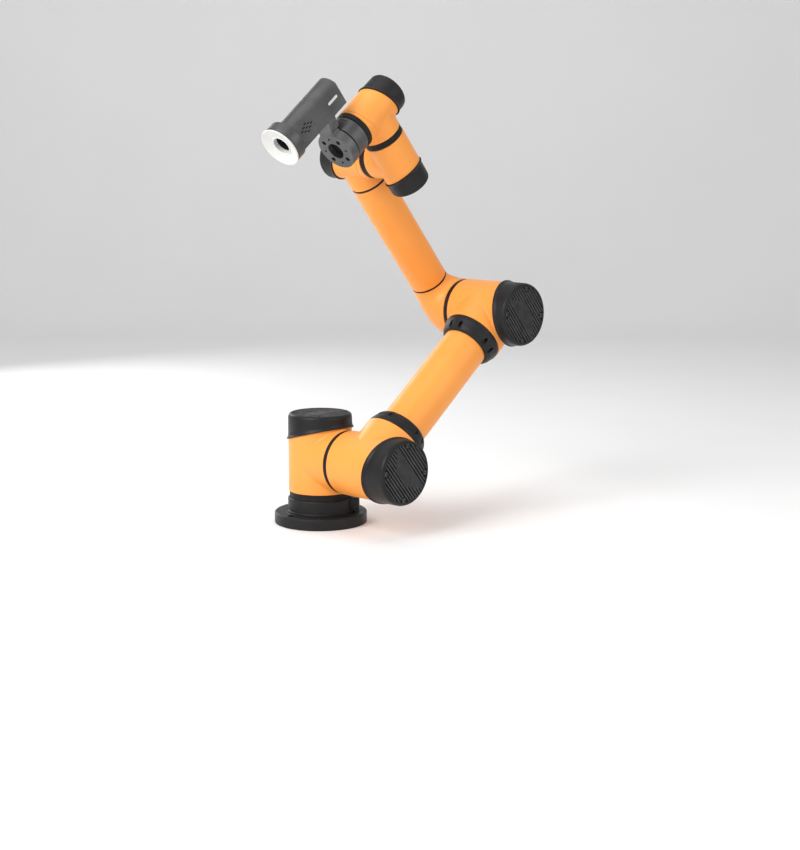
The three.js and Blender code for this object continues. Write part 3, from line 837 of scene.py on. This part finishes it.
def forearm_elbow_piece():
    bm = bmesh.new()
    rings = []
    steps = 40

    def ring(centre, out, radius):
        made = []
        for k in range(SIDES):
            a = 2 * math.pi * k / SIDES
            across = Vector((0, radius * math.sin(a), 0))
            made.append(bm.verts.new(centre + out * radius * math.cos(a) + across))
        rings.append(made)

    def ends(part, direction):
        centre, out, radius = elbow_section(part)
        rows = [(radius - 6, 0.0), (radius - EDGE, 0.0)]
        for i in range(1, 4):
            a = i / 4 * math.pi / 2
            rows.append((radius - EDGE * (1 - math.sin(a)), EDGE * (1 - math.cos(a))))
        return [(centre - direction * inset, out, r) for r, inset in rows]

    for centre, out, radius in ends(0, X):
        ring(centre, out, radius)
    for i in range(steps + 1):
        part = i / steps
        centre, out, radius = elbow_section(part)
        if i == 0:
            centre = centre - X * EDGE
        if i == steps:
            centre = centre - Z * EDGE
        ring(centre, out, radius)
    for centre, out, radius in reversed(ends(1, Z)):
        ring(centre, out, radius)
    join_rings(bm, rings)
    bmesh.ops.recalc_face_normals(bm, faces=bm.faces)
    finish_piece(
        bm, "forearm_elbow_shell", FORE_PLACE, ORANGE, "forearm", "orange_paint", "forearm_elbow"
    )


forearm_elbow_piece()
tube_piece("forearm_tube", FORE_RADIUS, ELBOW_RISE + GASKET, FORE_END - GASKET, FORE_PLACE, "forearm")
for node, foot in (("forearm_lower_gasket", ELBOW_RISE), ("forearm_upper_gasket", FORE_END - GASKET)):
    tube_piece(
        node,
        FORE_RADIUS - 0.15,
        foot + 0.1,
        foot + GASKET - 0.1,
        FORE_PLACE,
        "forearm",
        RUBBER,
        "black_rubber",
        0.3,
    )


# ---------------------------------------------------------------- base
SCREW_CIRCLE, DOWEL_RADIUS = 73.4, 3.0
BASE_PLACE = frame_at(Vector((0, 0, 0)), Z, X)
QUARTERS = [math.pi / 2 * i for i in range(4)]
DOWEL_TURNS = [math.radians(135), math.radians(315)]


def base_flange_piece():
    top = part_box("base_flange")[1].z / MM
    profile = [(0, 0), (85, 0), (86, 1), (86, top - 1.8), (84.2, top)]
    profile += [(66, top), (65.2, top - 0.8), (64.4, top), (0, top)]

    def whole(bm):
        lathe(bm, rounded(profile, 0.5))

    def holes(bm):
        for turn in QUARTERS:
            at = turned_about(turn, SCREW_CIRCLE)
            lathe(bm, [(0, 8.8), (7.2, 8.8), (7.2, top + 4), (0, top + 4)], 32, 0, at)
        for turn in DOWEL_TURNS:
            at = turned_about(turn, SCREW_CIRCLE)
            r = DOWEL_RADIUS
            lathe(bm, [(0, 12), (r, 12), (r, top - 0.5), (r + 0.8, top + 0.3), (0, top + 2)], 24, 0, at)

    bm = solid_minus(whole, holes)
    bmesh.ops.recalc_face_normals(bm, faces=bm.faces)
    finish_piece(bm, "base_flange_disc", BASE_PLACE, BLACK_METAL, "base", "black_paint", "base_flange")
    for i, turn in enumerate(QUARTERS):
        bm = bmesh.new()
        socket_screw(bm, turned_about(turn, SCREW_CIRCLE, 0, 17.2), 6.4, 0, 32)
        lathe(bm, [(7.0, 8.9), (7.0, 9.6), (5.0, 9.6)], 32, 0, turned_about(turn, SCREW_CIRCLE))
        bmesh.ops.recalc_face_normals(bm, faces=bm.faces)
        node = f"base_screw_{i + 1}"
        finish_piece(bm, node + "_head", BASE_PLACE, DARK_SCREW, "base", "steel", node)


base_flange_piece()
lathed(
    "base_pedestal_drum",
    [
        (40, 21.2),
        (62.6, 21.2),
        (62.6, 23.4),
        (61, 24.6),
        (60.8, 40),
        (60.8, 46.6),
        (59.2, PEDESTAL_TOP),
        (40, PEDESTAL_TOP),
    ],
    BASE_PLACE,
    BLACK_METAL,
    "base",
    "black_paint",
    "base_pedestal",
    size=0.6,
)


def base_inlet():
    """The boss for the supply lead on the pedestal's side, with its socket."""
    low, high = (corner.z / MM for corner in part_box("base_inlet_housing"))
    half, reach, middle = 23, 72, 37
    place = BASE_PLACE @ Matrix.Rotation(math.radians(-45), 4, "Z")

    def whole(bm):
        corners = []
        for x, y in ((-half, 50), (half, 50), (half, reach), (-half, reach)):
            corners.append([bm.verts.new((x, y, low)), bm.verts.new((x, y, high))])
        bm.faces.new([c[1] for c in corners])
        bm.faces.new([c[0] for c in reversed(corners)])
        for a, b in zip(corners, corners[1:] + corners[:1]):
            bm.faces.new((a[0], b[0], b[1], a[1]))
        outer = [e for e in bm.edges if max(v.co.y for v in e.verts) > reach - 1]
        bmesh.ops.bevel(bm, geom=outer, offset=1.6, segments=3, affect="EDGES", profile=0.5)

    out = Matrix.Translation((0, reach - 9, middle)) @ Matrix.Rotation(math.radians(-90), 4, "X")

    def hole(bm):
        lathe(bm, [(0, 0), (9.2, 0), (9.2, 14), (0, 14)], 40, 0, out)

    bm = solid_minus(whole, hole)
    bmesh.ops.recalc_face_normals(bm, faces=bm.faces)
    finish_piece(bm, "base_inlet_boss", place, BLACK_METAL, "base", "black_paint", "base_inlet_housing")
    bm = bmesh.new()
    lathe(bm, rounded([(0, 2.4), (7.4, 2.4), (7.4, 9.2), (9.0, 9.2), (9.0, 0.4)], 0.3), 40, 0, out)
    for i in range(7):
        at = out @ turned_about(2 * math.pi * i / 7, 4.4, 0, 2.2)
        lathe(bm, rounded([(0.55, 0), (0.55, 4.6), (0, 4.9)], 0.2), 10, 1, at)
    lathe(bm, rounded([(0.8, 2.2), (0.8, 6.8), (0, 7.1)], 0.2), 10, 1, out)
    bmesh.ops.recalc_face_normals(bm, faces=bm.faces)
    materials = [GRAPHITE, STEEL]
    finish_piece(bm, "base_inlet_socket", place, materials, "base", "graphite_paint", "base_cable_inlet")


base_inlet()

# ---------------------------------------------------------------- tool flange
TOOL_PLACE = frame_at(WRIST_3_CENTRE, ALONG_TOOL, X)
BOLT_CIRCLE, SPIGOT_TOP = 25, 94


def wrist_3_ring():
    profile = [(26, 46.1), (36.2, 46.1), (36.2, 49.8), (35.7, 50.3), (36.2, 50.8), (36.2, 55.4), (26, 55.4)]
    lathed(
        "wrist_3_ring", profile, TOOL_PLACE, RUBBER, "tool", "black_rubber", "wrist_3_seal_ring", size=0.5
    )


wrist_3_ring()


def tool_flange_piece():
    profile = [
        (14, 55.8),
        (34.4, 55.8),
        (35.6, 57.0),
        (35.6, 62.6),
        (35.1, 63.0),
        (35.1, 63.6),
        (35.6, 64.0),
        (35.6, 82.2),
        (34.8, 83.2),
        (31.8, 83.4),
        (31.5, SPIGOT_TOP),
        (12, SPIGOT_TOP),
        (12, 88),
        (0, 88),
    ]
    lathed(
        "tool_flange_hub", profile, TOOL_PLACE, GRAPHITE, "tool", "graphite_paint", "tool_flange", size=0.5
    )


tool_flange_piece()

BRACKET = {"back": 86.4, "front": 104.3, "radius": 37.0, "bore": 15.75, "arm_back": 83.4}
ARM_TOP, ARM_ROOT = Vector((22.15, 60.3)), Vector((14.5, 30))


def bracket_outline():
    """The adapter ring's outline with the arm that widens towards the camera, anticlockwise."""
    r, fillet = BRACKET["radius"], 5.0
    along = (ARM_ROOT - ARM_TOP).normalized()
    out = Vector((-along.y, along.x))
    start = ARM_TOP + out * fillet
    ahead = start.dot(along)
    reach = -ahead - math.sqrt(ahead**2 - start.length_squared + (r + fillet) ** 2)
    centre = start + along * reach
    begin = math.atan2(centre.y, centre.x)
    points = []
    count = 72
    for i in range(count + 1):
        a = math.pi - begin + (2 * begin + math.pi) * i / count
        points.append((r * math.cos(a), r * math.sin(a)))
    first, last = begin + math.pi, math.atan2(-out.y, -out.x)
    right = []
    for i in range(1, 7):
        a = first + (last - first) * i / 6
        right.append((centre.x + fillet * math.cos(a), centre.y + fillet * math.sin(a)))
    right.append(tuple(ARM_TOP))
    return points + right + [(-x, y) for x, y in reversed(right)]


def bracket_piece():
    b = BRACKET

    def whole(bm):
        outline = bracket_outline()
        soft = 0.7
        levels = [(b["back"], -soft), (b["back"] + soft, 0), (b["front"] - soft, 0), (b["front"], -soft)]
        rings = []
        for height, grow in levels:
            ring = []
            for i, (x, y) in enumerate(outline):
                before, after = Vector(outline[i - 1]), Vector(outline[(i + 1) % len(outline)])
                way = (after - before).normalized()
                shift = Vector((way.y, -way.x)) * grow
                lift = shift.y if y < ARM_TOP.y - 0.01 else 0
                ring.append(bm.verts.new((x + shift.x, y + lift, height)))
            rings.append(ring)
        join_rings(bm, rings)
        close_ends(bm, rings)
        block = []
        for x, y in ((-17.0, 39.5), (17.0, 39.5), (ARM_TOP.x, ARM_TOP.y), (-ARM_TOP.x, ARM_TOP.y)):
            block.append([bm.verts.new((x, y, h)) for h in (b["arm_back"], 95.0)])
        bm.faces.new([c[0] for c in reversed(block)])
        bm.faces.new([c[1] for c in block])
        for p, q in zip(block, block[1:] + block[:1]):
            bm.faces.new((p[0], q[0], q[1], p[1]))

    def holes(bm):
        back, front = b["back"] - 3, b["front"] + 3
        lathe(bm, [(0, back), (31.8, back), (31.8, 94.3), (0, 94.3)], 72)
        bore = [(0, 93), (b["bore"], 93), (b["bore"], b["front"] - 0.6), (b["bore"] + 0.9, front), (0, front)]
        lathe(bm, rounded(bore, 0.1), 64)
        for i in range(8):
            big = i % 2
            radius = 4.3 if big else 2.2
            at = turned_about(math.pi / 4 * i, BOLT_CIRCLE)
            lathe(bm, [(0, 95), (radius, 95), (radius, front), (0, front)], 32 if big else 20, 0, at)

    bm = solid_minus(whole, holes)
    for i in range(4):
        at = turned_about(math.pi / 4 + math.pi / 2 * i, BOLT_CIRCLE, 0, 99.5)
        socket_screw(bm, at, 4.1, 1, 28)
    # A near-black disc closes the bore: a painted shadow in its depth.
    lathe(bm, [(b["bore"], 94.6), (0, 94.6)], 48, 2)
    bmesh.ops.recalc_face_normals(bm, faces=bm.faces)
    materials = [GRAPHITE, DARK_SCREW, RECESS_SHADE]
    finish_piece(
        bm,
        "camera_bracket_plate",
        TOOL_PLACE,
        materials,
        "tool",
        "graphite_paint",
        "camera_bracket",
        sharp=25,
    )


bracket_piece()

# ---------------------------------------------------------------- camera
MARKER = {"across": 83.2, "along": 70.8, "radius": 2.5, "straight": 10.4}
VENT = {"middle": 146, "across": 3.6, "along": 6.4, "radius": 0.95, "straight": 2.5}
CAM = {"back": 46.8, "front": 174.2, "half": 22.2, "low": 60.0, "axis": 85.7, "crown": 26.9}


def camera_section(inset):
    """The housing's outline: flat sides cut from a round crown about the lens axis."""
    half, low, radius = CAM["half"] - inset, CAM["low"] + inset, CAM["crown"] - inset
    axis, arc_steps = CAM["axis"], 40
    first = math.acos(half / radius)
    crease = axis + radius * math.sin(first)
    points = [(-half + 0.5, low), (half - 0.5, low), (half, low + 0.5)]
    for i in range(1, 4):
        points.append((half, low + 0.5 + (crease - low - 0.5) * i / 3))
    for i in range(1, arc_steps):
        a = first + (math.pi - 2 * first) * i / arc_steps
        points.append((radius * math.cos(a), axis + radius * math.sin(a)))
    for i in range(3):
        points.append((-half, crease + (low + 0.5 - crease) * i / 3))
    return points + [(-half, low + 0.5)]


def camera_body():
    back, front = CAM["back"], CAM["front"]

    def whole(bm):
        levels = [(back, 1.4), (back + 0.4, 0.5), (back + 1.3, 0.0)]
        levels += [(back + 40, 0.0), (back + 90, 0.0), (front + 2, 0.0)]
        rings = []
        for height, inset in levels:
            rings.append([bm.verts.new((x, y, height)) for x, y in camera_section(inset)])
        join_rings(bm, rings)
        close_ends(bm, rings)

    def vents(bm):
        outline = slot_outline(VENT["radius"], VENT["straight"], 16)
        for i in (-1, 0, 1):
            for j in (-1, 0, 1):
                across = CAM["axis"] + (i + j) * VENT["across"]
                along = VENT["middle"] + (i - j) * VENT["along"]
                at = Matrix.Translation((CAM["half"] + 1, across, along))
                rings = []
                for x in (-4.0, 1.0):
                    rings.append([bm.verts.new(at @ Vector((x, y, z))) for y, z in outline])
                join_rings(bm, rings)
                close_ends(bm, rings)

    bm = solid_minus(whole, vents)
    # The vent slots' walls and floors are painted near-black: painted shade in the vents.
    for face in bm.faces:
        centre = face.calc_center_median()
        by_vents = abs(centre.z - VENT["middle"]) < 21 and centre.y < 98
        if by_vents and 12 < centre.x < CAM["half"] - 0.1:
            face.material_index = 1
    bmesh.ops.recalc_face_normals(bm, faces=bm.faces)
    materials = [GRAPHITE, RECESS_SHADE]
    finish_piece(
        bm, "camera_case", TOOL_PLACE, materials, "tool", "graphite_paint", "camera_housing", sharp=24
    )


camera_body()


def camera_front():
    axis, front = CAM["axis"], CAM["front"]
    place = TOOL_PLACE @ Matrix.Translation((0, axis, 0))
    bezel = [
        (16.4, front + 0.3),
        (34.4, front + 0.3),
        (36.3, front + 2.0),
        (36.3, 192.4),
        (35.7, 192.8),
        (35.7, 193.4),
        (36.3, 193.8),
        (36.3, 197.0),
        (33.5, 197.0),
        (33.5, 190),
        (16.4, 190),
    ]
    lathed("camera_bezel_cup", bezel, place, GRAPHITE, "tool", "graphite_paint", "camera_bezel", size=0.9)
    light = [
        (33.0, 186.5),
        (33.0, 197.1),
        (36.8, 197.2),
        (37.4, 197.9),
        (37.4, 199.0),
        (36.6, 199.6),
        (34.9, 199.5),
        (33.9, 198.6),
        (18.9, 193.9),
        (18.3, 194.8),
        (16.4, 194.8),
        (15.8, 194.0),
        (15.8, 186.2),
    ]
    lathed(
        "camera_ring_light_cone",
        light,
        place,
        DIFFUSER,
        "tool",
        "white_diffuser",
        "camera_ring_light",
        size=0.5,
    )
    # The lens tube takes the near-black recess material: partly its own black, partly painted shade deep in
    # the bore.
    barrel = [(15.7, 176), (15.7, 186.4), (15.0, 186.8), (14.0, 186.2), (11.2, 180.2), (10.9, 178)]
    lathed(
        "camera_lens_tube",
        barrel,
        place,
        RECESS_SHADE,
        "tool",
        "lens_black",
        "camera_lens_barrel",
        size=0.3,
        sides=64,
    )
    glass = [(10.9, 179.6), (9.6, 180.6), (7.2, 181.6), (3.9, 182.3), (0, 182.5)]
    lathed(
        "camera_front_lens",
        glass,
        place,
        LENS,
        "tool",
        "lens_glass",
        "camera_lens_glass",
        size=0.2,
        sides=64,
    )


camera_front()


def camera_marker():
    """A plain white marker bar on the housing's flat side."""
    bm = bmesh.new()
    at = Matrix.Translation((CAM["half"], MARKER["across"], MARKER["along"]))
    rings = []
    for x, grow in ((-0.3, 0.0), (0.12, 0.0), (0.22, -0.2)):
        outline = slot_outline(MARKER["radius"] + grow, MARKER["straight"], 24)
        rings.append([bm.verts.new(at @ Vector((x, y, z))) for y, z in outline])
    join_rings(bm, rings)
    close_ends(bm, rings)
    bmesh.ops.recalc_face_normals(bm, faces=bm.faces)
    finish_piece(bm, "camera_marker_bar", TOOL_PLACE, DIFFUSER, "tool", "white_diffuser")


camera_marker()

# ---------------------------------------------------------------- inner nodes that stay
INNER = {
    "_gear_unit": STEEL,
    "_output_hub": STEEL,
    "_motor": COPPER,
    "_harness": RUBBER,
    "_sensor_board": BOARD,
}
for node, part in frame["nodes"].items():
    for ending, material in INNER.items():
        if node.endswith(ending):
            part.data.materials.clear()
            part.data.materials.append(material)


# ---------------------------------------------------------------- floor and light
def stage_material(name, colour):
    mat, tree, bsdf = new_material(name, colour, 0.7)
    patches = ramp(tree, noise(tree, 3, 3), 0, 1, 0.35, 0.7)
    tone = mix_colour(tree, patches, colour, tuple(c * 0.985 for c in colour))
    tree.links.new(tone, bsdf.inputs["Base Color"])
    return mat


def add_floor():
    """A floor that curves up into the backdrop behind the object."""
    bm = bmesh.new()
    away = Vector((-BACK.x, -BACK.y, 0)).normalized()
    side = Vector((-away.y, away.x, 0))
    flat, bend, wall = 3.0, 1.2, 6.0
    rows = [(-4.0, 0.0), (flat, 0.0)]
    for i in range(1, 13):
        a = i / 12 * math.pi / 2
        rows.append((flat + bend * math.sin(a), bend * (1 - math.cos(a))))
    rows.append((flat + bend, wall))
    rings = []
    for along, height in rows:
        rings.append([bm.verts.new(away * along + side * s + Vector((0, 0, height))) for s in (-7, 7)])
    for a, b in zip(rings, rings[1:]):
        bm.faces.new((a[0], a[1], b[1], b[0]))
    bmesh.ops.recalc_face_normals(bm, faces=bm.faces)
    me = bpy.data.meshes.new("studio_floor")
    bm.to_mesh(me)
    bm.free()
    me.shade_smooth()
    me.materials.append(stage_material("studio_paper", (0.9, 0.9, 0.9)))
    floor = bpy.data.objects.new("studio_floor", me)
    bpy.context.scene.collection.objects.link(floor)


def add_light(name, place, aim, size, power):
    data = bpy.data.lights.new(name, "AREA")
    data.shape = "RECTANGLE"
    data.size = data.size_y = size
    data.energy = power
    light = bpy.data.objects.new(name, data)
    light.location = place
    light.rotation_euler = (Vector(place) - Vector(aim)).to_track_quat("Z", "Y").to_euler()
    bpy.context.scene.collection.objects.link(light)


add_floor()
AIM = Vector((0.08, 0.1, 0.4))
add_light("key", AIM + RIGHT * -1.6 + UP * 1.15 + BACK * 1.8, AIM, 1.5, 62)
add_light("fill", AIM + RIGHT * 2.0 + UP * 0.6 + BACK * 1.5, AIM, 1.8, 16)
add_light("top", AIM + Z * 2.3, AIM, 2.0, 15)
add_light("rim", AIM + RIGHT * -1.4 + UP * 0.9 - BACK * 1.6, AIM, 1.2, 16)

world = bpy.data.worlds.new("studio")
bpy.context.scene.world = world
world.use_nodes = True
world.node_tree.nodes["Background"].inputs["Color"].default_value = (1, 1, 1, 1)
world.node_tree.nodes["Background"].inputs["Strength"].default_value = 0.5
